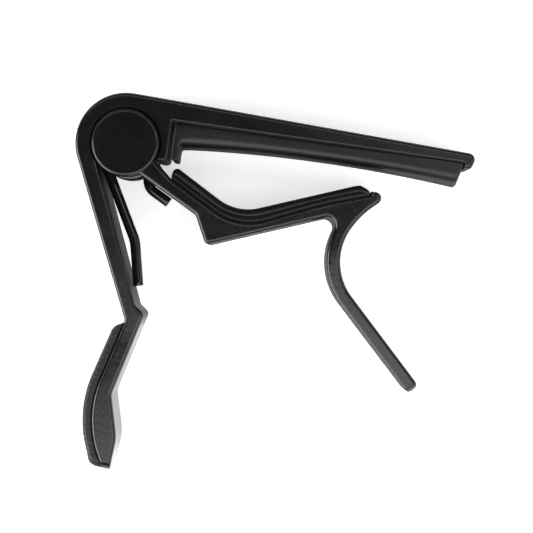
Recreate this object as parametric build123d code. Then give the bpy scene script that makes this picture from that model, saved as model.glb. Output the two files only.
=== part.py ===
from build123d import *
import math
import os

# Guitar capo of the trigger kind: a cast body with a string arm and a handle, and a sprung jaw on
# one pivot pin. All lengths are millimetres and all angles are degrees. +X runs along the string
# arm, +Y points away from the guitar neck, and +Z is the pivot axis. The drawing plane of every
# outline is the middle plane; the finished pieces are lifted so that the rear cap's face is at z = 0.

# Pivot stack, each a distance from the middle plane
HALF_BODY = 8.0
CAP_BASE = 8.05
CAP_FACE = 8.95
CAVITY_HALF = 4.3
WEB_HALF = 5.7
CHEEK_INNER = 6.15
COUNTERBORE_FLOOR = 7.1
HEAD_BASE = 7.15
PIN_END = 7.95
CLIP_THICKNESS = 0.6
FLANGE_BASE = WEB_HALF + 0.02

# Pivot radii
HUB_R = 10.55
POCKET_R = 7.5
WEB_R = 7.0
CAVITY_R = 7.2
CHEEK_R = 6.1
BRIDGE_R = 9.9
CAP_R = 7.0
CAP_EDGE_R = 0.6
STEM_R = 1.2
STEM_BORE_R = 1.22
STEM_DEPTH = 3.0
STEM_BORE_DEPTH = 3.4
PIN_R = 2.5
PIN_HOLE_R = 2.52
PIN_HEAD_R = 4.4
PIN_CHAMFER = 0.2
COUNTERBORE_R = 4.6
BUSHING_BORE_R = 2.53
BUSHING_R = 3.25
FLANGE_R = 4.5
ARBOR_BORE_R = 2.55
ARBOR_R = 4.3
ARBOR_HALF = 4.2
GROOVE_R = 1.9
CLIP_R = 4.2
CLIP_SLOT = 3.2
CLIP_RELIEF_R = 0.7
CLIP_RELIEF_AT = 2.2
CLIP_RELIEF_ANGLES = (35.0, 145.0)

# Torsion spring
WIRE_R = 1.1
COIL_R = 5.76
LEG_Z = 3.0
HANDLE_LEG_ANGLE = 207.7
JAW_LEG_ANGLE = -10.0
FULL_TURNS = 2
HANDLE_LEG_BEND = (4.35, -19.9)
HANDLE_LEG_END = (6.35, -29.2)
HANDLE_LEG_BEND_R = 8.0
JAW_LEG_BEND = (4.46, -7.83)
JAW_LEG_END = (9.9, -10.72)
JAW_LEG_BEND_R = 3.0

# Body outline corners, each (x, y, corner radius)
ARM_SLOPE = 1.99
ARM_UNDERSIDE = 5.95
BLOCK_WALL = 8.9
FOOT_Y = -2.6
FOOT_ROOT_X = 5.0
FOOT_CORNER_R = 1.0
BLOCK_ROOT_R = 0.4
DISC_CORNER = (7.6, 6.2)
HANDLE_OUTER_ANGLE = 204.1
LIP_X = 70.9
ARM_TIP = [(73.4, 8.02, 1.4), (72.25, 4.6, 0.9), (LIP_X, 4.7, 0), (LIP_X, ARM_UNDERSIDE, 0)]
HANDLE_INNER_TOP = (-6.25, FOOT_Y)
ELBOW = [(4.79, -36.6, 1.2)]
ELBOW_INNER = [(8.75, -34.8, 1.15), (6.7, -33.3, 0.9)]
PADDLE_ARC_CENTRE = (22.55, -55.3)
PADDLE_ARC_R = 22.0
PADDLE_ARC_START = 164.8
PADDLE_ARC_END = 213.4
PADDLE_TIP = (5.85, -70.15, 0.85)
PADDLE_INNER = [(6.5, -61.2, 9.0), (4.2, -52.4, 2.5)]

# Half widths across the body, as (station, half width) with a third value where a corner is round
ARM_WIDTHS = [(-12.0, HALF_BODY), (11.0, HALF_BODY, 60.0), (74.0, 5.5)]
HANDLE_WIDTHS = [(12.0, HALF_BODY), (-12.0, HALF_BODY, 60.0), (-40.0, 7.0, 60.0), (-75.0, 7.0)]
PADDLE_END = [(20.0, 9.0), (-68.2, 7.0, 2.6)]

# String pad
PAD_LEFT = 9.8
TAB_RIGHT = 11.05
TAB_BOTTOM = -2.1
PAD_RIGHT_BOTTOM = 70.0
PAD_RIGHT_TOP = 70.8
PAD_CREST = (40.0, 2.3)
FRETBOARD_R = 305.0
PAD_HALF = 5.0
PAD_EDGE_R = 1.4
RAIL_HEIGHT = 1.1
RAIL_OVERLAP = 0.5
RAIL_START = 10.1
RAIL_STOP = 70.4
RAIL_FOOT_HALF = 1.7
RAIL_HEAD_HALF = 2.5
RAIL_CLEARANCE = 0.04

# Jaw outline corners, each (x, y, corner radius)
NECK_TOP = [(5.5, -1.55, 0), (7.35, -3.6, 1.5), (10.3, -6.05, 1.5)]
SEAT = [(25.53, -14.32, 12.5), (42.5, -6.83, 60.0), (52.2, -3.6, 0)]
NOSE = [(52.2, -2.85, 0), (56.5, -2.85, 1.3), (51.0, -7.77, 17.0)]
HEEL = [(19.38, -18.75, 1.0), (16.5, -12.85, 1.5), (2.3, -5.3, 0)]
LEVER_UNDERSIDE_END = (47.6, -7.96, 0)
LEVER_ROOT = (46.9, -8.26)
LEVER_ROOT_R = 1.8
TRIGGER_CENTRE = (59.65, -16.7)
TRIGGER_OUTER_R = 14.95
TRIGGER_THICKNESS = 2.95
TRIGGER_TOP_ANGLE = 152.0
TRIGGER_TAIL_ANGLE = 142.0
TRIGGER_END_ANGLE = 225.0
TRIGGER_STRAIGHT = 22.2

# Half widths across the jaw, by how far a point lies along the trigger's slant
SLANT = Plane(origin=(0, 0, 0), x_dir=(1, -1, 0), z_dir=(-1, -1, 0))
JAW_WIDTHS = [(-12.0, HALF_BODY), (9.0, HALF_BODY, 60.0), (45.0, 7.1, 60.0), (80.0, 5.0)]
TRIGGER_END = [(-12.0, 9.0), (50.0, 9.0), (77.66, 5.5, 3.0)]

# Neck pad
NECK_PAD_TOP = [(10.35, -2.95, 1.2), (24.92, -11.13, 10.0),
                (49.6, -1.73, 1.6), (51.95, -2.7, 0.3)]
NECK_PAD_HALF = 6.6
TONGUE_HALF = 2.5
TONGUE_DEPTH = 1.0

# Handle grip
GRIP_THICKNESS = 1.95
GRIP_HALF = 6.8
GRIP_TOP = [(5.4, -36.8, 0), (2.5, -38.2, 2.4)]
GRIP_ARC_END = 203.0
GRIP_TIP = [(1.5, -67.6, 1.8), (5.0, -68.15, 0)]
GRIP_INSIDE = (2.5, -52.0, 0)

# Rounding of the long edges
BODY_EDGE_R = 0.8
THROAT_EDGE_R = 0.35
JAW_EDGE_R = 0.8
REACH = 200.0


def polar(radius, angle, centre=(0.0, 0.0)):
    """A point at an angle round a centre."""
    turn = math.radians(angle)
    return (centre[0] + radius * math.cos(turn), centre[1] + radius * math.sin(turn))


def outline(corners):
    """A flat face from corners that each carry their own radius."""
    points = [(x, y) for x, y, _ in corners]
    radii = [radius for _, _, radius in corners]
    return make_face(FilletPolyline(*points, radius=radii, close=True))


def slab(face, half):
    """A plate as deep on each side of the middle plane."""
    return extrude(face, amount=half, both=True)


def layer(face, near, far):
    """Two equal plates, one in front of the middle plane and one behind it."""
    plate = extrude(Pos(0, 0, near) * face, amount=far - near)
    return plate + mirror(plate, about=Plane.XY)


def cylinder_between(radius, low, high):
    """A round bar on the pivot axis between two heights."""
    return extrude(Pos(0, 0, low) * Circle(radius), amount=high - low)


def width_limit(stations, plane):
    """A block whose depth follows stations along the first axis of an upright plane."""
    side = [station if len(station) == 3 else (*station, 0) for station in stations]
    corners = side + [(s, -half, radius) for s, half, radius in reversed(side)]
    return extrude(plane * outline(corners), amount=REACH, both=True)


def rim_edges(solid):
    """The edges round the front and rear faces, without the creases inside them."""
    flats = [f for f in solid.faces() if abs(f.normal_at().Z) > 0.9]
    owners = {}
    for face in flats:
        for edge in face.edges():
            spot = edge.position_at(0.5)
            key = (round(spot.X, 3), round(spot.Y, 3), round(spot.Z, 3))
            owners.setdefault(key, []).append(edge)
    return [edges[0] for edges in owners.values() if len(edges) == 1]


def in_throat(edge):
    """Whether an edge lies on the foot, its straight wall or the underside of the arm."""
    spot = edge.position_at(0.5)
    along = HANDLE_INNER_TOP[0] < spot.X < LIP_X
    return along and FOOT_Y - THROAT_EDGE_R < spot.Y < ARM_UNDERSIDE + 1.5 * THROAT_EDGE_R


def paddle_back(gap, end_angle):
    """The rounded corner that bows the back of the paddle, a gap outside its metal."""
    radius = PADDLE_ARC_R + gap
    half_sweep = (end_angle - PADDLE_ARC_START) / 2
    reach = radius / math.cos(math.radians(half_sweep))
    return (*polar(reach, PADDLE_ARC_START + half_sweep, PADDLE_ARC_CENTRE), radius)


def body_outline():
    """The L of the body: hub disc, string arm with its foot, and handle with its paddle."""
    arm_top = polar(HUB_R, 90 - ARM_SLOPE)
    arm = outline(
        [(*arm_top, 0), *ARM_TIP]
        + [(BLOCK_WALL, ARM_UNDERSIDE, BLOCK_ROOT_R), (BLOCK_WALL, FOOT_Y, FOOT_CORNER_R)]
        + [(FOOT_ROOT_X, FOOT_Y, 0), (0, 0, 0)]
    )
    handle_top = polar(HUB_R, HANDLE_OUTER_ANGLE)
    handle = outline(
        [(*handle_top, 0), *ELBOW, paddle_back(0, PADDLE_ARC_END), PADDLE_TIP]
        + [*PADDLE_INNER, *ELBOW_INNER, (*HANDLE_INNER_TOP, 0)]
    )
    elbow_x, elbow_y, _ = ELBOW_INNER[1]
    disc_x, disc_y = DISC_CORNER
    throat = Polygon(
        HANDLE_INNER_TOP, (disc_x, FOOT_Y), DISC_CORNER, (REACH, disc_y),
        (REACH, elbow_y), (elbow_x, elbow_y), align=None
    )
    return (Circle(HUB_R) - throat) + arm + handle


def rail(clearance, start, stop):
    """The dovetail bar that holds the string pad in the arm."""
    foot = RAIL_FOOT_HALF - clearance
    head = RAIL_HEAD_HALF - clearance
    low = ARM_UNDERSIDE - RAIL_OVERLAP
    high = ARM_UNDERSIDE + RAIL_HEIGHT - clearance
    section = Polygon((low, -foot), (ARM_UNDERSIDE, -foot), (high, -head), (high, head),
                      (ARM_UNDERSIDE, foot), (low, foot), align=None)
    return Pos(start, 0, 0) * extrude(Plane.YZ * section, amount=stop - start)


def main_body():
    solid = slab(body_outline(), HALF_BODY)
    solid &= width_limit(ARM_WIDTHS, Plane.XZ)
    solid &= width_limit(HANDLE_WIDTHS, Plane.YZ)
    solid = fillet([e for e in rim_edges(solid) if in_throat(e)], THROAT_EDGE_R)
    outer = [e for e in rim_edges(solid)
             if not in_throat(e) and abs(e.position_at(0.5).X - LIP_X) > THROAT_EDGE_R]
    solid = fillet(outer, BODY_EDGE_R)
    solid &= width_limit(PADDLE_END, Plane.YZ)
    solid -= layer(Circle(POCKET_R), WEB_HALF, CAP_FACE)
    solid -= slab(Circle(CAVITY_R), CAVITY_HALF)
    solid += layer(Circle(WEB_R), CAVITY_HALF, WEB_HALF)
    solid -= slab(Circle(PIN_HOLE_R), HALF_BODY)
    return solid - rail(0, PAD_LEFT, PAD_RIGHT_TOP)


def fretboard_height(x):
    """Height of the string pad's hollow underside at x."""
    offset = x - PAD_CREST[0]
    return PAD_CREST[1] - FRETBOARD_R + math.sqrt(FRETBOARD_R**2 - offset**2)


def string_pad():
    tab_root = (TAB_RIGHT, fretboard_height(TAB_RIGHT))
    far_end = (PAD_RIGHT_BOTTOM, fretboard_height(PAD_RIGHT_BOTTOM))
    sides = Polyline(far_end, (PAD_RIGHT_TOP, ARM_UNDERSIDE), (PAD_LEFT, ARM_UNDERSIDE),
                     (PAD_LEFT, TAB_BOTTOM), (TAB_RIGHT, TAB_BOTTOM), tab_root)
    underside = ThreePointArc(tab_root, PAD_CREST, far_end)
    pad = slab(make_face([*sides.edges(), underside]), PAD_HALF)
    by_height = pad.edges().group_by(Axis.Z)
    pad = fillet((by_height[0] + by_height[-1]).filter_by(GeomType.CIRCLE), PAD_EDGE_R)
    return pad + rail(RAIL_CLEARANCE, RAIL_START, RAIL_STOP)


def handle_grip():
    """The rubber on the back of the paddle, from the elbow round to the tip."""
    raw = outline([*GRIP_TOP, paddle_back(GRIP_THICKNESS, GRIP_ARC_END), *GRIP_TIP, GRIP_INSIDE])
    grip = slab(raw - body_outline(), GRIP_HALF)
    return grip & width_limit(PADDLE_END, Plane.YZ)


def trigger_outline():
    """The finger lever: an arc that runs out straight to a round tip."""
    inner_r = TRIGGER_OUTER_R - TRIGGER_THICKNESS
    outer_arc = CenterArc(TRIGGER_CENTRE, TRIGGER_OUTER_R, TRIGGER_TAIL_ANGLE,
                          TRIGGER_END_ANGLE - TRIGGER_TAIL_ANGLE)
    inner_arc = CenterArc(TRIGGER_CENTRE, inner_r, TRIGGER_TOP_ANGLE,
                          TRIGGER_END_ANGLE - TRIGGER_TOP_ANGLE)
    run = polar(TRIGGER_STRAIGHT, TRIGGER_END_ANGLE + 90)
    middle = polar(TRIGGER_OUTER_R - TRIGGER_THICKNESS / 2, TRIGGER_END_ANGLE, TRIGGER_CENTRE)
    apex = polar(TRIGGER_STRAIGHT + TRIGGER_THICKNESS / 2, TRIGGER_END_ANGLE + 90, middle)
    outer_side = Line(outer_arc @ 1, outer_arc @ 1 + Vector(*run))
    inner_side = Line(inner_arc @ 1, inner_arc @ 1 + Vector(*run))
    tip = ThreePointArc(outer_side @ 1, apex, inner_side @ 1)
    root = Line(inner_arc @ 0, outer_arc @ 0)
    return make_face([outer_arc, outer_side, tip, inner_side, inner_arc, root])


def jaw_outline():
    """The jaw: neck, seat for the pad, heel, nose and trigger."""
    trigger_top = polar(TRIGGER_OUTER_R - TRIGGER_THICKNESS, TRIGGER_TOP_ANGLE, TRIGGER_CENTRE)
    lever = outline(
        [*NECK_TOP, *SEAT, *NOSE, (*trigger_top, 0), LEVER_UNDERSIDE_END, *HEEL]
    )
    face = lever + trigger_outline()
    return fillet(face.vertices().sort_by_distance((*LEVER_ROOT, 0))[0], LEVER_ROOT_R)


def neck_pad_outline():
    """The pad's side view with its tongue, down to the bottom of the groove in the jaw."""
    start_x, start_y, _ = NECK_TOP[-1]
    top = [(start_x, start_y - TONGUE_DEPTH, 0), *NECK_PAD_TOP]
    bottom = [(x, y - TONGUE_DEPTH, radius) for x, y, radius in reversed(SEAT)]
    return outline(top + bottom)


def lower_jaw():
    solid = slab(jaw_outline() + Circle(CHEEK_R), HALF_BODY)
    solid &= width_limit(JAW_WIDTHS, SLANT)
    solid = fillet(rim_edges(solid), JAW_EDGE_R)
    solid &= width_limit(TRIGGER_END, SLANT)
    solid -= slab(Circle(BRIDGE_R), CHEEK_INNER)
    solid -= slab(Circle(BUSHING_R), HALF_BODY)
    solid -= layer(Circle(COUNTERBORE_R), COUNTERBORE_FLOOR, HALF_BODY)
    return solid - slab(neck_pad_outline(), TONGUE_HALF)


def neck_pad():
    profile = neck_pad_outline()
    cushion = slab(profile - jaw_outline(), NECK_PAD_HALF)
    return cushion + slab(profile, TONGUE_HALF)


def pivot_pin():
    pin = cylinder_between(PIN_R, -PIN_END, HEAD_BASE)
    pin = chamfer(pin.edges().group_by(Axis.Z)[0], PIN_CHAMFER)
    pin += cylinder_between(PIN_HEAD_R, HEAD_BASE, PIN_END)
    pin -= layer(Circle(STEM_BORE_R), PIN_END - STEM_BORE_DEPTH, PIN_END)
    groove_face = Circle(CLIP_R) - Circle(GROOVE_R)
    groove = extrude(Pos(0, 0, -HEAD_BASE - CLIP_THICKNESS) * groove_face, amount=CLIP_THICKNESS)
    return pin - groove


def retaining_clip():
    """A flat ring with one mouth that snaps into the pin's groove."""
    mouth = Pos(0, -CLIP_R / 2) * Rectangle(CLIP_SLOT, CLIP_R)
    face = Circle(CLIP_R) - Circle(GROOVE_R) - mouth
    for angle in CLIP_RELIEF_ANGLES:
        face -= Pos(*polar(CLIP_RELIEF_AT, angle)) * Circle(CLIP_RELIEF_R)
    return extrude(Pos(0, 0, -HEAD_BASE - CLIP_THICKNESS) * face, amount=CLIP_THICKNESS)


def spring_arbor():
    return slab(Circle(ARBOR_R) - Circle(ARBOR_BORE_R), ARBOR_HALF)


def jaw_bushing():
    """The front flanged bushing; the rear one is its mirror image."""
    tube = cylinder_between(BUSHING_R, FLANGE_BASE, COUNTERBORE_FLOOR)
    flange = cylinder_between(FLANGE_R, FLANGE_BASE, CHEEK_INNER)
    return tube + flange - slab(Circle(BUSHING_BORE_R), HALF_BODY)


def hub_cap():
    """The front cap with its stem; the rear one is its mirror image."""
    disc = cylinder_between(CAP_R, CAP_BASE, CAP_FACE)
    disc = fillet(disc.edges().group_by(Axis.Z)[-1], CAP_EDGE_R)
    return disc + cylinder_between(STEM_R, PIN_END - STEM_DEPTH, CAP_BASE)


def wire(path):
    """Round wire along a path."""
    section = Plane(origin=path @ 0, z_dir=path % 0) * Circle(WIRE_R)
    return sweep(section, path=path)


def torsion_spring():
    """A close coil whose front leg lies along the handle and whose rear leg lifts the jaw."""
    turn = HANDLE_LEG_ANGLE - JAW_LEG_ANGLE + 360 * FULL_TURNS
    height = 2 * LEG_Z
    helix = Helix(pitch=height * 360 / turn, height=height, radius=COIL_R)
    coil = Pos(0, 0, -LEG_Z) * Rot(0, 0, JAW_LEG_ANGLE) * wire(helix)
    handle_start = (*polar(COIL_R, HANDLE_LEG_ANGLE), LEG_Z)
    jaw_start = (*polar(COIL_R, JAW_LEG_ANGLE), -LEG_Z)
    handle_leg = wire(FilletPolyline(handle_start, (*HANDLE_LEG_BEND, LEG_Z),
                                     (*HANDLE_LEG_END, LEG_Z), radius=HANDLE_LEG_BEND_R))
    jaw_leg = wire(FilletPolyline(jaw_start, (*JAW_LEG_BEND, -LEG_Z), (*JAW_LEG_END, -LEG_Z),
                                  radius=JAW_LEG_BEND_R))
    spring = coil + handle_leg + jaw_leg
    for start in (handle_start, jaw_start):
        spring += Pos(*start) * Sphere(WIRE_R)
    return spring


def main():
    front_bushing = jaw_bushing()
    front_cap = hub_cap()
    pieces = {
        "main_body": main_body(),
        "string_pad": string_pad(),
        "handle_grip": handle_grip(),
        "lower_jaw": lower_jaw(),
        "neck_pad": neck_pad(),
        "pivot_pin": pivot_pin(),
        "retaining_clip": retaining_clip(),
        "spring_arbor": spring_arbor(),
        "torsion_spring": torsion_spring(),
        "front_jaw_bushing": front_bushing,
        "rear_jaw_bushing": mirror(front_bushing, about=Plane.XY),
        "front_cap": front_cap,
        "rear_cap": mirror(front_cap, about=Plane.XY),
    }
    os.makedirs("parts", exist_ok=True)
    for node, piece in pieces.items():
        export_step(Pos(0, 0, CAP_FACE) * piece, os.path.join("parts", node + ".step"))


main()
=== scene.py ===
"""Looks of a guitar capo: a coated metal frame with rubber pads, a rubber grip and a torsion spring.

Working lengths are millimetres in the part's own frame, with heights measured from the middle
plane of the pivot, and every mesh is scaled to metres as it is made.
"""

import math

import bmesh
import bpy
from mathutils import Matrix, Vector


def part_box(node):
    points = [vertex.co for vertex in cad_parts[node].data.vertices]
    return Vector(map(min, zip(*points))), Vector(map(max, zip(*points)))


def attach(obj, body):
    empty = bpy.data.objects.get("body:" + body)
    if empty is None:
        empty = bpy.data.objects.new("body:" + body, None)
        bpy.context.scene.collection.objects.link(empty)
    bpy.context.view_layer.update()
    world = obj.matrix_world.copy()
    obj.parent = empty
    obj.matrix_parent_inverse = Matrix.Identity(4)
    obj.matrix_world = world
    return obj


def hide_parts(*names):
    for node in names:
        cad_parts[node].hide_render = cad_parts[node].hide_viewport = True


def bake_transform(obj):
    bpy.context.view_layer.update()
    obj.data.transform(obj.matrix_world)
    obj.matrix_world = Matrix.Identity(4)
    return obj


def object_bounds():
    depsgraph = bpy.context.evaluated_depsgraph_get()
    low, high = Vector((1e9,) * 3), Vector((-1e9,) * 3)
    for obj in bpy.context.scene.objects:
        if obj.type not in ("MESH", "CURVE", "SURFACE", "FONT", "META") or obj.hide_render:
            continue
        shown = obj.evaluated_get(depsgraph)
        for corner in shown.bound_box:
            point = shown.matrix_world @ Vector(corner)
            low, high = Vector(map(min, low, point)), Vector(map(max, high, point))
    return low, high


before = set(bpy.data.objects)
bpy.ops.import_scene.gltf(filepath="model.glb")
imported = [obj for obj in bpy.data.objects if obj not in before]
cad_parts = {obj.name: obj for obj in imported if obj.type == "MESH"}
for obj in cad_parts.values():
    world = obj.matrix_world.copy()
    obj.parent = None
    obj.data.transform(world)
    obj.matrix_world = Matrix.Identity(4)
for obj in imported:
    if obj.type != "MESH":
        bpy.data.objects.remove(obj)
cad_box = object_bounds()

MM = 0.001

# Points nearer than this are one point, in millimetres
MERGE_DISTANCE = 0.002


def middle_height():
    """Height of the pivot's middle plane above the floor, in millimetres."""
    low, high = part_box("main_body")
    return (low.z + high.z) / 2 / MM


MID = middle_height()


# ---------------------------------------------------------------- plane geometry

def lerp(a, b, t):
    return a + (b - a) * t


def mix(p, q, t):
    return (lerp(p[0], q[0], t), lerp(p[1], q[1], t))


def polar(radius, angle, centre=(0.0, 0.0)):
    turn = math.radians(angle)
    return (centre[0] + radius * math.cos(turn), centre[1] + radius * math.sin(turn))


def round_corner(before, corner, after, radius, steps=9):
    """Points of the arc that rounds a corner off."""
    x, y = corner
    u = (before[0] - x, before[1] - y)
    v = (after[0] - x, after[1] - y)
    lu, lv = math.hypot(*u), math.hypot(*v)
    u = (u[0] / lu, u[1] / lu)
    v = (v[0] / lv, v[1] / lv)
    half = math.acos(max(-1.0, min(1.0, u[0] * v[0] + u[1] * v[1]))) / 2
    run = radius / math.tan(half)
    bis = (u[0] + v[0], u[1] + v[1])
    lb = math.hypot(*bis)
    reach = radius / math.sin(half)
    centre = (x + bis[0] / lb * reach, y + bis[1] / lb * reach)
    p = (x + u[0] * run, y + u[1] * run)
    q = (x + v[0] * run, y + v[1] * run)
    a0 = math.atan2(p[1] - centre[1], p[0] - centre[0])
    a1 = math.atan2(q[1] - centre[1], q[0] - centre[0])
    sweep = (a1 - a0 + math.pi) % (2 * math.pi) - math.pi
    return [
        (centre[0] + radius * math.cos(a0 + sweep * k / steps),
         centre[1] + radius * math.sin(a0 + sweep * k / steps))
        for k in range(steps + 1)
    ]


def rounded_line(corners, steps=9):
    """An open line through (x, y, radius) corners, with each corner rounded."""
    line = [corners[0][:2]]
    for before, (x, y, radius), after in zip(corners, corners[1:], corners[2:]):
        if radius:
            line += round_corner(before[:2], (x, y), after[:2], radius, steps)
        else:
            line.append((x, y))
    line.append(corners[-1][:2])
    return line


def height_at(line, x, axis=0):
    """The other coordinate of a line where it passes x, or y when axis is 1."""
    other = 1 - axis
    for p, q in zip(line, line[1:]):
        lo, hi = sorted((p[axis], q[axis]))
        if lo <= x <= hi and hi > lo:
            return lerp(p[other], q[other], (x - p[axis]) / (q[axis] - p[axis]))
    nearest = min((line[0], line[-1]), key=lambda p: abs(p[axis] - x))
    return nearest[other]


# ---------------------------------------------------------------- meshes

def mesh_object(name, points, faces):
    """A smooth mesh from points in millimetres round the middle plane."""
    mesh = bpy.data.meshes.new(name)
    mesh.from_pydata([(x * MM, y * MM, (z + MID) * MM) for x, y, z in points], [], faces)
    mesh.validate()
    mesh.shade_smooth()
    obj = bpy.data.objects.new(name, mesh)
    bpy.context.scene.collection.objects.link(obj)
    return obj


def skin(name, rings):
    """A closed mesh over rings of equal count, with a flat cap at each end."""
    count = len(rings[0])
    points = [p for ring in rings for p in ring]
    faces = []
    for k in range(len(rings) - 1):
        for i in range(count):
            j = (i + 1) % count
            a, b = k * count, (k + 1) * count
            faces.append((a + i, a + j, b + j, b + i))
    faces.append(tuple(reversed(range(count))))
    last = (len(rings) - 1) * count
    faces.append(tuple(range(last, last + count)))
    obj = mesh_object(name, points, faces)
    fix_normals(obj)
    return obj


def fix_normals(obj):
    """Merges points that coincide, and turns the faces outward."""
    work = bmesh.new()
    work.from_mesh(obj.data)
    bmesh.ops.remove_doubles(work, verts=work.verts, dist=MERGE_DISTANCE * MM)
    bmesh.ops.recalc_face_normals(work, faces=work.faces)
    work.to_mesh(obj.data)
    work.free()


# The most of a section's length and half height that its rounded edges may take
NEAR_SHARE = 0.45
FAR_SHARE = 0.5
ACROSS_SHARE = 0.9


def section(half, length, near, far, walls, flat=3):
    """Half of a section: (distance from the fixed side, height) from its middle round to the
    free side's middle. near and far are (along, across) sizes of the two rounded edges, and
    walls holds (distance, depth) pairs of what is sunk into the side. A pair that doesn't fit
    between the two edges isn't sunk."""
    near = (min(near[0], NEAR_SHARE * length), min(near[1], ACROSS_SHARE * half))
    far = (min(far[0], FAR_SHARE * length), min(far[1], ACROSS_SHARE * half))
    row = [(0.0, (half - near[1]) * k / flat) for k in range(flat + 1)]
    for k in range(1, 6):
        t = math.radians(18 * k)
        row.append((near[0] * (1 - math.cos(t)), half - near[1] * (1 - math.sin(t))))
    span = length - far[0]
    for distance, depth in walls:
        sunk = depth if near[0] < distance < span else 0.0
        row.append((min(max(distance, near[0]), span), half - sunk))
    for k in range(0, 11):
        t = math.radians(9 * k)
        row.append((length - far[0] * (1 - math.sin(t)), half - far[1] * (1 - math.cos(t))))
    row += [(length, (half - far[1]) * (1 - k / flat)) for k in range(1, flat + 1)]
    return row


def ring_points(fixed, free, half, near, far, walls, inset=0.0):
    """A closed ring of points across a pad between its fixed side and its free side."""
    dx, dy = free[0] - fixed[0], free[1] - fixed[1]
    length = math.hypot(dx, dy)
    dx, dy = dx / length, dy / length
    kept = max(length - 2 * inset, 0.05)
    row = section(half - inset, kept, near, far, walls)
    inset = (length - kept) / 2
    side = [(fixed[0] + dx * (d + inset), fixed[1] + dy * (d + inset), z) for d, z in row]
    return side + [(x, y, -z) for x, y, z in reversed(side[1:-1])]


def pad_mesh(name, stations):
    """A pad from stations, each the arguments of ring_points."""
    return skin(name, [ring_points(*station) for station in stations])


def end_insets(radius, steps=5):
    """(distance from the end, inset) pairs of a rounded end, from its face inward."""
    turned = [(radius * (1 - math.cos(math.radians(90 * k / steps))),
               radius * (1 - math.sin(math.radians(90 * k / steps)))) for k in range(steps + 1)]
    return [(0.0, radius + 0.25)] + turned


# ---------------------------------------------------------------- string pad

ARM_UNDERSIDE = 5.95
PAD_LEFT = 9.8
TAB_RIGHT = 11.05
TAB_BOTTOM = -2.1
PAD_RIGHT_BOTTOM = 70.0
PAD_RIGHT_TOP = 70.8
PAD_CREST = (40.0, 2.3)
FRETBOARD_R = 305.0
PAD_HALF = 5.0

# Rounded edges of the string pad, as (along, across) sizes
PAD_TOP_EDGE = (0.3, 0.3)
PAD_MIDDLE_EDGE = (2.2, 2.05)
PAD_FAR_EDGE = (3.0, 3.4)
PAD_TAB_EDGE = (0.4, 0.4)
PAD_END_R = 0.3
PAD_TAB_END_R = 0.35
PAD_END_GAP = 0.1
PAD_END_HEIGHT = 1.08


def fretboard_height(x):
    """Height of the string pad's hollow underside at x."""
    return PAD_CREST[1] - FRETBOARD_R + math.sqrt(FRETBOARD_R**2 - (x - PAD_CREST[0]) ** 2)


def string_pad():
    """A long bar with a rounded underside and a tab that hangs down at the pivot end."""
    crown = [(lerp(0.4, 2.2, k / 6), 0.0) for k in range(7)]
    stations = []
    end_x = PAD_RIGHT_TOP - PAD_END_GAP
    for distance, inset in end_insets(PAD_END_R):
        x = end_x - distance
        stations.append(((x, ARM_UNDERSIDE), (x, ARM_UNDERSIDE - PAD_END_HEIGHT), PAD_HALF,
                         PAD_TOP_EDGE, PAD_TOP_EDGE, crown, inset))
    slope = 1.0 / (ARM_UNDERSIDE - fretboard_height(PAD_RIGHT_BOTTOM))
    for k in range(1, 9):
        low = lerp(ARM_UNDERSIDE - 1.35, fretboard_height(PAD_RIGHT_BOTTOM) + 0.25, k / 8)
        x = PAD_RIGHT_TOP - (ARM_UNDERSIDE - low) * slope
        share = k / 8
        stations.append(((end_x - PAD_END_R - 1.1 * share, ARM_UNDERSIDE), (x, low), PAD_HALF,
                         PAD_TOP_EDGE, mix(PAD_TOP_EDGE, PAD_FAR_EDGE, share), crown, 0.0))
    x = PAD_RIGHT_BOTTOM - 0.35
    while x > TAB_RIGHT + 1.2:
        growth = max(0.0, (x - PAD_CREST[0]) / (PAD_RIGHT_BOTTOM - PAD_CREST[0]))
        stations.append(((min(x, end_x - 1.6), ARM_UNDERSIDE), (x, fretboard_height(x)), PAD_HALF,
                         PAD_TOP_EDGE, mix(PAD_MIDDLE_EDGE, PAD_FAR_EDGE, growth), crown, 0.0))
        x -= 0.8
    root = fretboard_height(TAB_RIGHT)
    corner = round_corner((TAB_RIGHT + 2, root), (TAB_RIGHT, root), (TAB_RIGHT, TAB_BOTTOM), 0.6, 10)
    outside = rounded_line([(TAB_RIGHT + 1.2, ARM_UNDERSIDE, 0),
                            (PAD_LEFT, ARM_UNDERSIDE, 0.35),
                            (PAD_LEFT, root - 0.6, 0)], 6)
    lengths = [0.0]
    for p, q in zip(outside, outside[1:]):
        lengths.append(lengths[-1] + math.hypot(q[0] - p[0], q[1] - p[1]))
    for k, free in enumerate(corner):
        share = k / (len(corner) - 1)
        want = lengths[-1] * share
        spot = next(i for i in range(1, len(lengths)) if lengths[i] >= want - 1e-9)
        t = (want - lengths[spot - 1]) / (lengths[spot] - lengths[spot - 1])
        fixed = mix(outside[spot - 1], outside[spot], t)
        edge = mix(PAD_MIDDLE_EDGE, PAD_TAB_EDGE, share)
        stations.append((fixed, free, PAD_HALF, PAD_TOP_EDGE, edge, crown, 0.0))
    y = root - 1.0
    while y > TAB_BOTTOM + 0.5:
        stations.append(((PAD_LEFT, y), (TAB_RIGHT, y), PAD_HALF,
                         PAD_TOP_EDGE, PAD_TAB_EDGE, crown, 0.0))
        y -= 0.35
    for distance, inset in reversed(end_insets(PAD_TAB_END_R)):
        y = TAB_BOTTOM + distance
        stations.append(((PAD_LEFT, y), (TAB_RIGHT, y), PAD_HALF,
                         PAD_TOP_EDGE, PAD_TAB_EDGE, crown, inset))
    return pad_mesh("string_pad_rubber", stations)


# ---------------------------------------------------------------- neck pad

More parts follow.
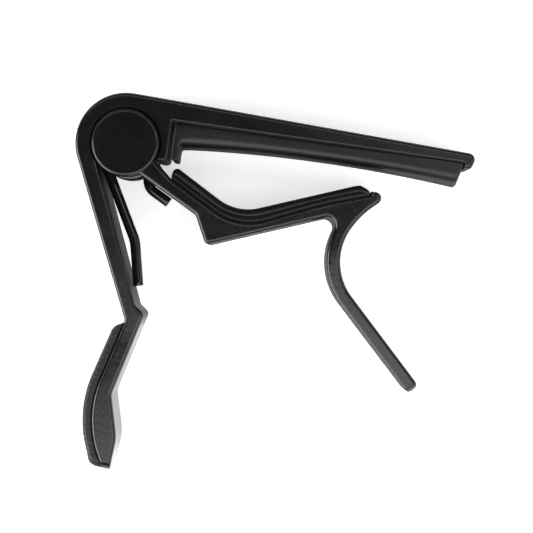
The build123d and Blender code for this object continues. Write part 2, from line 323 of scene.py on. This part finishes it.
SEAT = [(10.3, -6.05, 0), (25.53, -14.32, 12.5), (42.5, -6.83, 60.0), (52.2, -3.6, 0)]
NECK_TOP = [(10.35, -2.95, 0), (24.92, -11.13, 10.0), (49.6, -1.73, 1.6), (51.95, -2.7, 0)]
NECK_NOSE_R = 0.6
NECK_PAD_HALF = 6.6
NECK_END_R = 1.2
NECK_LEFT_END_R = 0.45
NECK_RIGHT_END_R = 0.3

# Rounded edges of the neck pad, as (along, across) sizes
NECK_SEAT_EDGE = (0.2, 0.2)
NECK_TOP_EDGE = (1.75, 1.6)

# The groove above the lip, as (distance from the seat, depth) pairs
NECK_GROOVE = [
    (0.35, 0.0), (0.6, 0.0), (0.74, 0.03), (0.84, 0.16), (0.92, 0.42), (1.0, 0.55),
    (1.1, 0.55), (1.18, 0.42), (1.26, 0.16), (1.36, 0.04), (1.48, 0.0),
]


def neck_pad():
    """A cushion that follows the jaw's seat, on a thin lip with a groove above it."""
    seat = rounded_line(SEAT, 24)
    top = rounded_line(NECK_TOP, 24)
    slope = (NECK_TOP[1][1] - NECK_TOP[0][1]) / (NECK_TOP[1][0] - NECK_TOP[0][0])

    def top_at(x):
        height = height_at(top, x)
        gone = x - SEAT[0][0]
        if gone < NECK_END_R:
            drop = NECK_END_R - math.sqrt(max(NECK_END_R**2 - (NECK_END_R - gone) ** 2, 0.0))
            height = NECK_TOP[0][1] + slope * NECK_END_R - drop * 0.9
        end = NECK_TOP[-1][0] - x
        if end < NECK_NOSE_R:
            height -= NECK_NOSE_R - math.sqrt(max(NECK_NOSE_R**2 - (NECK_NOSE_R - end) ** 2, 0.0))
        return height

    def full(x, inset=0.0):
        return ((x, height_at(seat, x)), (x, top_at(x)), NECK_PAD_HALF,
                NECK_SEAT_EDGE, NECK_TOP_EDGE, NECK_GROOVE, inset)

    left, right = SEAT[0][0], NECK_TOP[-1][0]
    stations = [full(left + distance, inset) for distance, inset in end_insets(NECK_LEFT_END_R)]
    xs = [left + NECK_LEFT_END_R + (NECK_END_R + 0.8) * (k / 9) for k in range(1, 9)]
    x = xs[-1] + 0.35
    while x < right - 2.6:
        xs.append(x)
        x += 0.5
    xs += [right - 2.5 + 2.05 * k / 9 for k in range(1, 9)]
    stations += [full(x) for x in xs]
    stations += [full(right - distance, inset)
                 for distance, inset in reversed(end_insets(NECK_RIGHT_END_R))]
    return pad_mesh("neck_pad_rubber", stations)


# ---------------------------------------------------------------- handle grip

PADDLE_ARC_CENTRE = (22.55, -55.3)
PADDLE_ARC_R = 22.0
PADDLE_ARC_START = 164.8
ELBOW = (4.79, -36.6)
GRIP_THICKNESS = 1.95
GRIP_HALF = 6.8
GRIP_ARC_END = 203.0
METAL_ARC_END = 213.4
GRIP_TOP = -37.28
GRIP_BOTTOM = -67.9
GRIP_LEAST = 0.12

# Rounded edges of the grip, as (along, across) sizes
GRIP_INNER_EDGE = (0.25, 0.35)
GRIP_OUTER_EDGE = (1.15, 1.3)
PADDLE_END_Y = -68.2
PADDLE_END_HALF = 6.98
PADDLE_END_R = 2.6


def grip_half(y):
    """Half width of the grip, which narrows round the end of the paddle."""
    reach = y - PADDLE_END_Y
    if reach >= PADDLE_END_R:
        return GRIP_HALF
    rise = math.sqrt(max(PADDLE_END_R**2 - (PADDLE_END_R - reach) ** 2, 0.0))
    return min(GRIP_HALF, PADDLE_END_HALF - PADDLE_END_R + rise)


def handle_grip():
    """The rubber on the back of the paddle, thick in the middle and thin at both ends."""
    metal = [ELBOW]
    metal += [polar(PADDLE_ARC_R, lerp(PADDLE_ARC_START, METAL_ARC_END, k / 40), PADDLE_ARC_CENTRE)
              for k in range(41)]
    arc = [polar(PADDLE_ARC_R + GRIP_THICKNESS, lerp(PADDLE_ARC_START, GRIP_ARC_END, k / 40),
                 PADDLE_ARC_CENTRE) for k in range(41)]
    outside = rounded_line([(4.55, -37.21, 0), (2.5, -38.2, 2.4), (*arc[0], 0)], 12)
    outside += arc[1:-1]
    outside += rounded_line([(*arc[-1], 0), (1.5, -67.6, 1.8), (4.6, -68.08, 0)], 12)
    walls = [(lerp(0.3, 0.85, k / 3), 0.0) for k in range(4)]

    def full(y):
        free = (height_at(outside, y, 1), y)
        fixed = (max(height_at(metal, y, 1), free[0] + GRIP_LEAST), y)
        return (fixed, free, grip_half(y), GRIP_INNER_EDGE, GRIP_OUTER_EDGE, walls)

    ys = [GRIP_TOP - 0.9 * (1 - math.cos(math.radians(90 * k / 9))) for k in range(10)]
    y = ys[-1] - 0.4
    while y > GRIP_BOTTOM + 1.2:
        ys.append(y)
        y -= 0.45
    ys += [GRIP_BOTTOM + 1 - math.sin(math.radians(90 * k / 9)) for k in range(10)]
    return pad_mesh("handle_grip_rubber", [full(y) for y in ys])


# ---------------------------------------------------------------- torsion spring

WIRE_R = 1.1
COIL_R = 5.76
LEG_Z = 3.0
HANDLE_LEG_ANGLE = 207.7
JAW_LEG_ANGLE = -10.0
FULL_TURNS = 2
HANDLE_LEG_BEND = (4.35, -19.9)
HANDLE_LEG_END = (6.35, -29.2)
JAW_LEG_BEND = (4.46, -7.83)
JAW_LEG_END = (9.9, -10.72)
HANDLE_LEG_BEND_R = 8.0
JAW_LEG_BEND_R = 3.0
WIRE_STEP = 0.7
WIRE_SIDES = 24

# The broken rim of a cut end, as (distance in from the end, radius) pairs
WIRE_RIM = [(0.0, WIRE_R * 0.6), (0.0, WIRE_R - 0.18), (0.06, WIRE_R - 0.05), (0.18, WIRE_R)]


def spring_path():
    """Points along the wire from the end of the handle leg to the end of the jaw leg."""
    start = polar(COIL_R, HANDLE_LEG_ANGLE)
    finish = polar(COIL_R, JAW_LEG_ANGLE)
    leg = rounded_line([(*HANDLE_LEG_END, 0), (*HANDLE_LEG_BEND, HANDLE_LEG_BEND_R), (*start, 0)], 8)
    points = [(x, y, LEG_Z) for x, y in leg]
    turn = HANDLE_LEG_ANGLE - JAW_LEG_ANGLE + 360 * FULL_TURNS
    steps = int(turn / 6)
    for k in range(1, steps):
        share = k / steps
        x, y = polar(COIL_R, HANDLE_LEG_ANGLE - turn * share)
        points.append((x, y, lerp(LEG_Z, -LEG_Z, share)))
    leg = rounded_line([(*finish, 0), (*JAW_LEG_BEND, JAW_LEG_BEND_R), (*JAW_LEG_END, 0)], 10)
    return points + [(x, y, -LEG_Z) for x, y in leg]


def torsion_spring():
    """Round wire, with its ends cut square and their rims broken."""
    path = [Vector(p) for p in spring_path()]
    filled = [path[0]]
    for p in path[1:]:
        gap = (p - filled[-1]).length
        pieces = max(1, int(gap / WIRE_STEP))
        base = filled[-1]
        filled += [base.lerp(p, k / pieces) for k in range(1, pieces + 1)]
    up = Vector((0, 0, 1))
    rings = []
    last = len(filled) - 1
    for k, p in enumerate(filled):
        along = (filled[min(k + 1, last)] - filled[max(k - 1, 0)]).normalized()
        side = along.cross(up).normalized()
        rise = side.cross(along)
        shapes = [(0.0, WIRE_R)]
        if k == 0:
            shapes = WIRE_RIM
        if k == last:
            shapes = [(-shift, radius) for shift, radius in reversed(WIRE_RIM)]
        for shift, radius in shapes:
            spot = p + along * shift
            rings.append([
                tuple(spot + side * (radius * math.cos(math.tau * i / WIRE_SIDES))
                      + rise * (radius * math.sin(math.tau * i / WIRE_SIDES)))
                for i in range(WIRE_SIDES)
            ])
    return skin("torsion_spring_wire", rings)


# ---------------------------------------------------------------- materials

FLOOR_GLOW = 0.58
SURFACE_IOR = 1.5

# Extra roughness of upright walls, which are duller than the flat faces
WALL_CAST = 0.55
WALL_RUBBER = 0.5

# How far a face's normal rises, as its height part: a wall below the first, flat above the second
WALL_RISE = (0.15, 0.45)

# Where the dull walls end on the way to the paddle, measured from the pivot towards -x and -y, in
# millimetres
PADDLE_FADE = (24.5, 29.5)


def new_material(name):
    mat = bpy.data.materials.new(name)
    mat.use_nodes = True
    tree = mat.node_tree
    tree.nodes.clear()
    shader = tree.nodes.new("ShaderNodeBsdfPrincipled")
    out = tree.nodes.new("ShaderNodeOutputMaterial")
    tree.links.new(shader.outputs["BSDF"], out.inputs["Surface"])
    return mat, tree, shader


def noise(tree, coords, size, detail=3.0, roughness=0.5):
    """Noise whose features are about size millimetres across."""
    node = tree.nodes.new("ShaderNodeTexNoise")
    node.inputs["Scale"].default_value = 1.0 / (size * MM)
    node.inputs["Detail"].default_value = detail
    node.inputs["Roughness"].default_value = roughness
    tree.links.new(coords, node.inputs["Vector"])
    return node.outputs["Fac"]


def ramp(tree, value, stops):
    """Colours, or greys where a stop is one number, along a value."""
    node = tree.nodes.new("ShaderNodeValToRGB")
    elements = node.color_ramp.elements
    while len(elements) < len(stops):
        elements.new(0.5)
    for element, (position, colour) in zip(elements, stops):
        element.position = position
        if isinstance(colour, float):
            colour = (colour, colour, colour)
        element.color = (*colour, 1.0)
    tree.links.new(value, node.inputs["Fac"])
    return node.outputs["Color"]


def maths(tree, operation, a, b=None):
    node = tree.nodes.new("ShaderNodeMath")
    node.operation = operation
    for socket, value in zip(node.inputs, (a, b)):
        if value is None:
            continue
        if isinstance(value, (int, float)):
            socket.default_value = value
        else:
            tree.links.new(value, socket)
    return node.outputs["Value"]


def spread(tree, value, swing, least):
    """A 0 to 1 value made to run from least to least + swing."""
    result = maths(tree, "MULTIPLY_ADD", value, swing)
    result.node.inputs[2].default_value = least
    return result


def bump(tree, height, depth, normal=None):
    """Bump of a 0 to 1 height, depth in millimetres."""
    node = tree.nodes.new("ShaderNodeBump")
    node.inputs["Strength"].default_value = 1.0
    node.inputs["Distance"].default_value = depth * MM
    tree.links.new(height, node.inputs["Height"])
    if normal is not None:
        tree.links.new(normal, node.inputs["Normal"])
    return node.outputs["Normal"]


def tint(colour, amount):
    return tuple(c * amount for c in colour)


def set_range(node, *limits):
    """Sets a Map Range node's from and to limits, in that order."""
    for socket, value in zip(node.inputs[1:5], limits):
        socket.default_value = value


def upright(tree, amount):
    """An amount on upright walls, fading to nothing on faces that lie flat."""
    coords = tree.nodes.new("ShaderNodeTexCoord")
    split = tree.nodes.new("ShaderNodeSeparateXYZ")
    tree.links.new(coords.outputs["Normal"], split.inputs["Vector"])
    share = tree.nodes.new("ShaderNodeMapRange")
    tree.links.new(maths(tree, "ABSOLUTE", split.outputs["Z"]), share.inputs["Value"])
    set_range(share, *WALL_RISE, amount, 0.0)
    return share.outputs["Result"]


def off_paddle(tree):
    """1 on the whole object, fading to 0 on the handle's paddle."""
    coords = tree.nodes.new("ShaderNodeTexCoord").outputs["Object"]
    reach = tree.nodes.new("ShaderNodeVectorMath")
    reach.operation = "DOT_PRODUCT"
    tree.links.new(coords, reach.inputs[0])
    reach.inputs[1].default_value = (-1.0, -1.0, 0.0)
    fade = tree.nodes.new("ShaderNodeMapRange")
    tree.links.new(reach.outputs["Value"], fade.inputs["Value"])
    set_range(fade, PADDLE_FADE[0] * MM, PADDLE_FADE[1] * MM, 1.0, 0.0)
    return fade.outputs["Result"]


def coated_metal(name, colour, rough, grain, pebble):
    """Satin black coating on cast metal: a soft pebble, cloudy gloss and a few fine scuffs."""
    mat, tree, shader = new_material(name)
    cloud_size, fleck_size, scuff_size = 9.0, 0.22, 1.6
    gloss_swing, wear_swing = 0.10, 0.12
    grain_depth, pebble_depth = 0.004, 0.016
    fleck_tint = 3.2
    coords = tree.nodes.new("ShaderNodeTexCoord").outputs["Object"]
    cloud = noise(tree, coords, cloud_size, 4.0)
    fleck = noise(tree, coords, fleck_size, 2.0)
    scuff = noise(tree, coords, scuff_size, 6.0, 0.7)
    body = ramp(tree, cloud, [(0.3, tint(colour, 0.82)), (0.7, tint(colour, 1.18))])
    dust = ramp(tree, fleck, [(0.70, 0.0), (0.78, 1.0)])
    blend = tree.nodes.new("ShaderNodeMix")
    blend.data_type = "RGBA"
    tree.links.new(dust, blend.inputs["Factor"])
    tree.links.new(body, blend.inputs["A"])
    blend.inputs["B"].default_value = (*tint(colour, fleck_tint), 1.0)
    tree.links.new(blend.outputs["Result"], shader.inputs["Base Color"])
    gloss = spread(tree, cloud, gloss_swing, rough - gloss_swing / 2)
    worn = spread(tree, scuff, wear_swing, -wear_swing / 2)
    face = maths(tree, "ADD", gloss, worn)
    wall = maths(tree, "MULTIPLY", upright(tree, WALL_CAST), off_paddle(tree))
    tree.links.new(maths(tree, "ADD", face, wall), shader.inputs["Roughness"])
    fine = bump(tree, noise(tree, coords, grain, 2.0), grain_depth)
    soft = bump(tree, noise(tree, coords, pebble, 1.0), pebble_depth, fine)
    tree.links.new(soft, shader.inputs["Normal"])
    shader.inputs["IOR"].default_value = SURFACE_IOR
    return mat


def rubber(name, colour, rough, gloss_level, grain, depth, stipple=None):
    """Moulded rubber with a fine grain, and a raised stipple where a size is given."""
    mat, tree, shader = new_material(name)
    cloud_size, bloom_size = 6.0, 0.8
    gloss_swing, stipple_depth = 0.14, 0.09
    coords = tree.nodes.new("ShaderNodeTexCoord").outputs["Object"]
    cloud = noise(tree, coords, cloud_size, 3.0)
    bloom = noise(tree, coords, bloom_size, 5.0, 0.65)
    body = ramp(tree, bloom, [(0.35, tint(colour, 0.8)), (0.75, tint(colour, 1.35))])
    tree.links.new(body, shader.inputs["Base Color"])
    gloss = spread(tree, cloud, gloss_swing, rough - gloss_swing / 2)
    tree.links.new(maths(tree, "ADD", gloss, upright(tree, WALL_RUBBER)), shader.inputs["Roughness"])
    normal = bump(tree, noise(tree, coords, grain, 3.0), depth)
    if stipple:
        cells = tree.nodes.new("ShaderNodeTexVoronoi")
        cells.inputs["Scale"].default_value = 1.0 / (stipple * MM)
        cells.inputs["Randomness"].default_value = 0.85
        tree.links.new(coords, cells.inputs["Vector"])
        domes = ramp(tree, cells.outputs["Distance"], [(0.0, 1.0), (0.55, 0.0)])
        normal = bump(tree, domes, stipple_depth, normal)
    tree.links.new(normal, shader.inputs["Normal"])
    shader.inputs["IOR"].default_value = SURFACE_IOR
    shader.inputs["Specular IOR Level"].default_value = gloss_level
    return mat


def bare_metal(name, colour, rough, grain):
    """Turned or drawn metal with fine tool marks round the pivot axis."""
    mat, tree, shader = new_material(name)
    coords = tree.nodes.new("ShaderNodeTexCoord").outputs["Object"]
    stain_size, gloss_swing, mark_depth = 2.5, 0.16, 0.004
    stretch = tree.nodes.new("ShaderNodeMapping")
    stretch.inputs["Scale"].default_value = (1.0, 1.0, 12.0)
    tree.links.new(coords, stretch.inputs["Vector"])
    marks = noise(tree, stretch.outputs["Vector"], grain, 4.0)
    stain = noise(tree, coords, stain_size, 4.0, 0.6)
    body = ramp(tree, stain, [(0.3, tint(colour, 0.8)), (0.75, tint(colour, 1.1))])
    tree.links.new(body, shader.inputs["Base Color"])
    gloss = spread(tree, marks, gloss_swing, rough - gloss_swing / 2)
    tree.links.new(gloss, shader.inputs["Roughness"])
    tree.links.new(bump(tree, marks, mark_depth), shader.inputs["Normal"])
    shader.inputs["Metallic"].default_value = 1.0
    return mat


def plastic(name, colour, rough):
    """Moulded bearing plastic, slightly mottled."""
    mat, tree, shader = new_material(name)
    coords = tree.nodes.new("ShaderNodeTexCoord").outputs["Object"]
    cloud_size, grain_size, grain_depth = 1.5, 0.12, 0.006
    cloud = noise(tree, coords, cloud_size, 4.0)
    body = ramp(tree, cloud, [(0.3, tint(colour, 0.85)), (0.75, tint(colour, 1.15))])
    tree.links.new(body, shader.inputs["Base Color"])
    tree.links.new(spread(tree, cloud, 0.15, rough - 0.07), shader.inputs["Roughness"])
    grain = noise(tree, coords, grain_size, 2.0)
    tree.links.new(bump(tree, grain, grain_depth), shader.inputs["Normal"])
    return mat


def blued_wire(name):
    """Black oxide on drawn spring wire, with faint drawing lines."""
    mat, tree, shader = new_material(name)
    coords = tree.nodes.new("ShaderNodeTexCoord").outputs["Object"]
    stain_size, line_size, line_depth = 1.4, 0.18, 0.006
    stain = noise(tree, coords, stain_size, 5.0, 0.65)
    body = ramp(tree, stain, [(0.3, (0.003, 0.003, 0.004)), (0.8, (0.010, 0.009, 0.011))])
    tree.links.new(body, shader.inputs["Base Color"])
    tree.links.new(spread(tree, stain, 0.16, 0.06), shader.inputs["Roughness"])
    lines = noise(tree, coords, line_size, 3.0)
    tree.links.new(bump(tree, lines, line_depth), shader.inputs["Normal"])
    return mat


def floor_material():
    mat, tree, shader = new_material("paper")
    coords = tree.nodes.new("ShaderNodeTexCoord").outputs["Object"]
    fibre = noise(tree, coords, 3.0, 4.0)
    tree.links.new(ramp(tree, fibre, [(0.3, 0.86), (0.7, 0.88)]), shader.inputs["Base Color"])
    shader.inputs["Roughness"].default_value = 0.9
    shader.inputs["Emission Color"].default_value = (1.0, 1.0, 1.0, 1.0)
    shader.inputs["Emission Strength"].default_value = FLOOR_GLOW
    return mat


def paint(node, mat):
    """Gives a CAD node one material."""
    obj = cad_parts[node]
    obj.data.materials.clear()
    obj.data.materials.append(mat)


# ---------------------------------------------------------------- pieces

CAST = coated_metal("cast_coating", (0.0040, 0.0036, 0.0042), 0.20, 0.16, 0.9)
CAP = coated_metal("cap_coating", (0.0040, 0.0036, 0.0042), 0.19, 0.14, 1.1)
PAD = rubber("pad_rubber_black", (0.0032, 0.0033, 0.0040), 0.34, 0.42, 0.14, 0.008)
GRIP = rubber("grip_rubber_black", (0.0042, 0.0040, 0.0045), 0.42, 0.35, 0.12, 0.010, 0.62)
WIRE = blued_wire("spring_oxide")
PIN = bare_metal("pin_steel_turned", (0.42, 0.41, 0.40), 0.32, 0.4)
CLIP = bare_metal("clip_steel_stamped", (0.35, 0.34, 0.34), 0.36, 0.3)
BUSH = plastic("bushing_acetal", (0.020, 0.020, 0.021), 0.45)
ARBOR = plastic("arbor_nylon", (0.030, 0.029, 0.028), 0.5)

for node, mat in {
    "main_body": CAST, "lower_jaw": CAST, "front_cap": CAP, "rear_cap": CAP,
    "pivot_pin": PIN, "retaining_clip": CLIP, "spring_arbor": ARBOR,
    "front_jaw_bushing": BUSH, "rear_jaw_bushing": BUSH,
}.items():
    paint(node, mat)

for build, node, body, mat, slot in (
    (string_pad, "string_pad", "frame", PAD, "pad_rubber"),
    (neck_pad, "neck_pad", "jaw", PAD, "pad_rubber"),
    (handle_grip, "handle_grip", "frame", GRIP, "grip_rubber"),
):
    piece = build()
    piece.data.materials.append(mat)
    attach(piece, body)
    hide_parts(node)

spring = torsion_spring()
spring.data.materials.append(WIRE)
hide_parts("torsion_spring")
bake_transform(spring)


# ---------------------------------------------------------------- studio

# Strength of the world at the horizon, at the ceiling, and the height part where the ceiling starts
HORIZON_GLOW, CEILING_GLOW, HORIZON_HEIGHT = 0.5, 0.02, 0.5

FLOOR_REACH = 6.0
FLOOR_GAP = 0.00002

CAMERA_LENS = 97.5
CAMERA_SPOT = (0.0326, -0.0214)
CAMERA_RISE = 0.2991
CAMERA_TURN = 7.95

# Soft boxes as name: (tilt from straight above, heading, (width, depth), radiance), in degrees and metres
LIGHT_DISTANCE = 0.8
LIGHTS = {
    "near_box": (28.5, -72, (1.2, 0.68), 2.5),
    "left_box": (62, 210, (0.9, 0.43), 8.0),
    "right_strip": (70, 0, (0.9, 0.12), 4.0),
    "right_box": (24, 28, (0.4, 0.32), 0.7),
    "far_strip": (25, 90, (1.1, 0.14), 2.5),
}


def make_floor():
    size = FLOOR_REACH
    mesh = bpy.data.meshes.new("floor")
    mesh.from_pydata([(-size, -size, 0), (size, -size, 0), (size, size, 0), (-size, size, 0)],
                     [], [(0, 1, 2, 3)])
    floor = bpy.data.objects.new("floor", mesh)
    floor.location.z = cad_box[0].z - FLOOR_GAP
    bpy.context.scene.collection.objects.link(floor)
    mesh.materials.append(floor_material())


def area_light(name, tilt, heading, size, radiance):
    """A soft box aimed at the object's middle: tilt from straight above, towards heading."""
    low, high = cad_box
    centre = (low + high) / 2
    t, h = math.radians(tilt), math.radians(heading)
    away = Vector((math.sin(t) * math.cos(h), math.sin(t) * math.sin(h), math.cos(t)))
    data = bpy.data.lights.new(name, "AREA")
    data.shape = "RECTANGLE"
    data.size, data.size_y = size
    data.energy = radiance * math.pi * size[0] * size[1]
    lamp = bpy.data.objects.new(name, data)
    lamp.location = centre + away * LIGHT_DISTANCE
    lamp.rotation_mode = "QUATERNION"
    lamp.rotation_quaternion = away.to_track_quat("Z", "Y")
    lamp.visible_camera = False
    bpy.context.scene.collection.objects.link(lamp)


def make_world():
    """A dark ceiling over a pale horizon."""
    world = bpy.data.worlds.new("studio")
    bpy.context.scene.world = world
    world.use_nodes = True
    tree = world.node_tree
    tree.nodes.clear()
    coords = tree.nodes.new("ShaderNodeTexCoord")
    split = tree.nodes.new("ShaderNodeSeparateXYZ")
    shade = tree.nodes.new("ShaderNodeMapRange")
    glow = tree.nodes.new("ShaderNodeBackground")
    out = tree.nodes.new("ShaderNodeOutputWorld")
    tree.links.new(coords.outputs["Generated"], split.inputs["Vector"])
    tree.links.new(split.outputs["Z"], shade.inputs["Value"])
    set_range(shade, 0.0, HORIZON_HEIGHT, HORIZON_GLOW, CEILING_GLOW)
    tree.links.new(shade.outputs["Result"], glow.inputs["Strength"])
    glow.inputs["Color"].default_value = (1.0, 1.0, 1.0, 1.0)
    tree.links.new(glow.outputs["Background"], out.inputs["Surface"])


def make_camera():
    """Straight above the object, turned so that the handle leans as in the view wanted."""
    data = bpy.data.cameras.new("camera")
    data.sensor_width = 36.0
    data.lens = CAMERA_LENS
    data.clip_start, data.clip_end = 0.01, 20.0
    camera = bpy.data.objects.new("camera", data)
    camera.location = (*CAMERA_SPOT, cad_box[1].z + CAMERA_RISE)
    camera.rotation_euler = (0.0, 0.0, math.radians(CAMERA_TURN))
    bpy.context.scene.collection.objects.link(camera)
    bpy.context.scene.camera = camera


make_floor()
make_world()
make_camera()
for name, settings in LIGHTS.items():
    area_light(name, *settings)

scene = bpy.context.scene
scene.view_settings.view_transform = "Standard"
scene.view_settings.look = "None"
scene.view_settings.exposure = 0.0
scene.view_settings.gamma = 1.0
